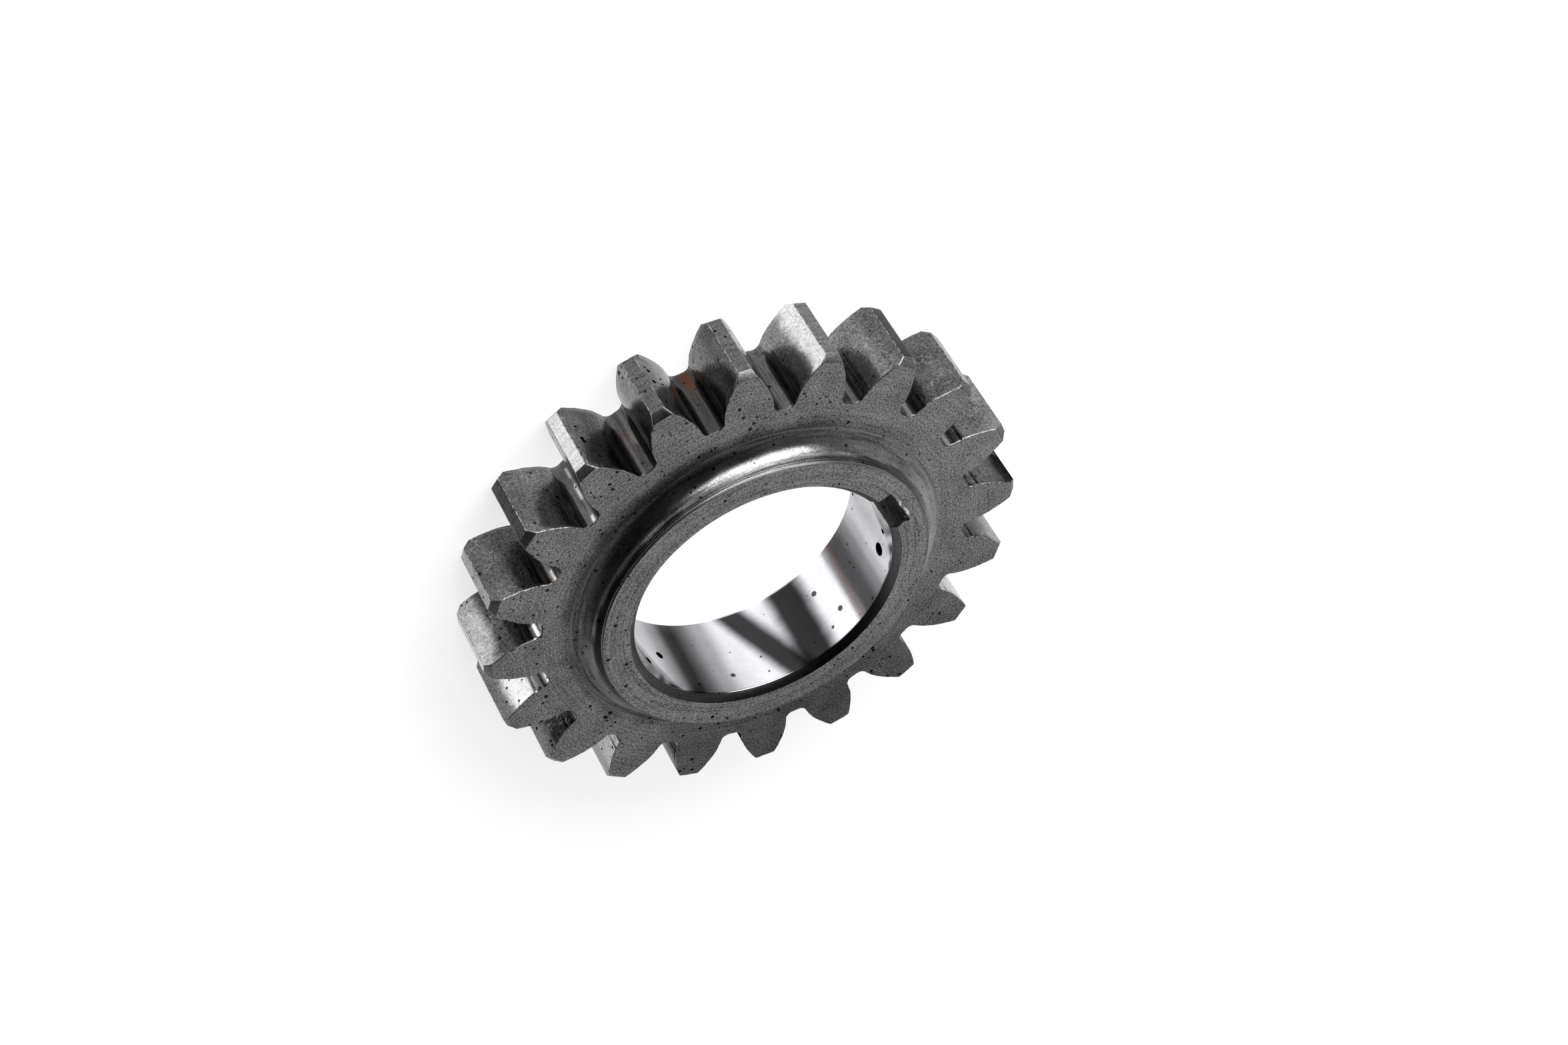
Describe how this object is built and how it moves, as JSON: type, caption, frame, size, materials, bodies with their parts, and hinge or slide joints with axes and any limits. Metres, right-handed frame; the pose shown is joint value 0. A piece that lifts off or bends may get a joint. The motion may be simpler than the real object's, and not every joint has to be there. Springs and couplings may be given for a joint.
{
  "type": "crankshaft gear",
  "caption": "Small steel spur gear with a raised hub on one side, a ground bore with a keyway, and bevelled tooth tips.",
  "frame": {"origin": "on the bore's axis, in the plane of the flat back face that the gear lies on", "axes": "+Z along the bore's axis towards the raised hub, +X through the middle of one tooth"},
  "size_m": [0.066, 0.066, 0.013],
  "materials": {
    "gear_steel": "turned faces, hobbed teeth and a ground bore, with fine dark pits"
  },
  "bodies": {
    "root": {"crankshaft_gear": "gear_steel"}
  },
  "joints": []
}
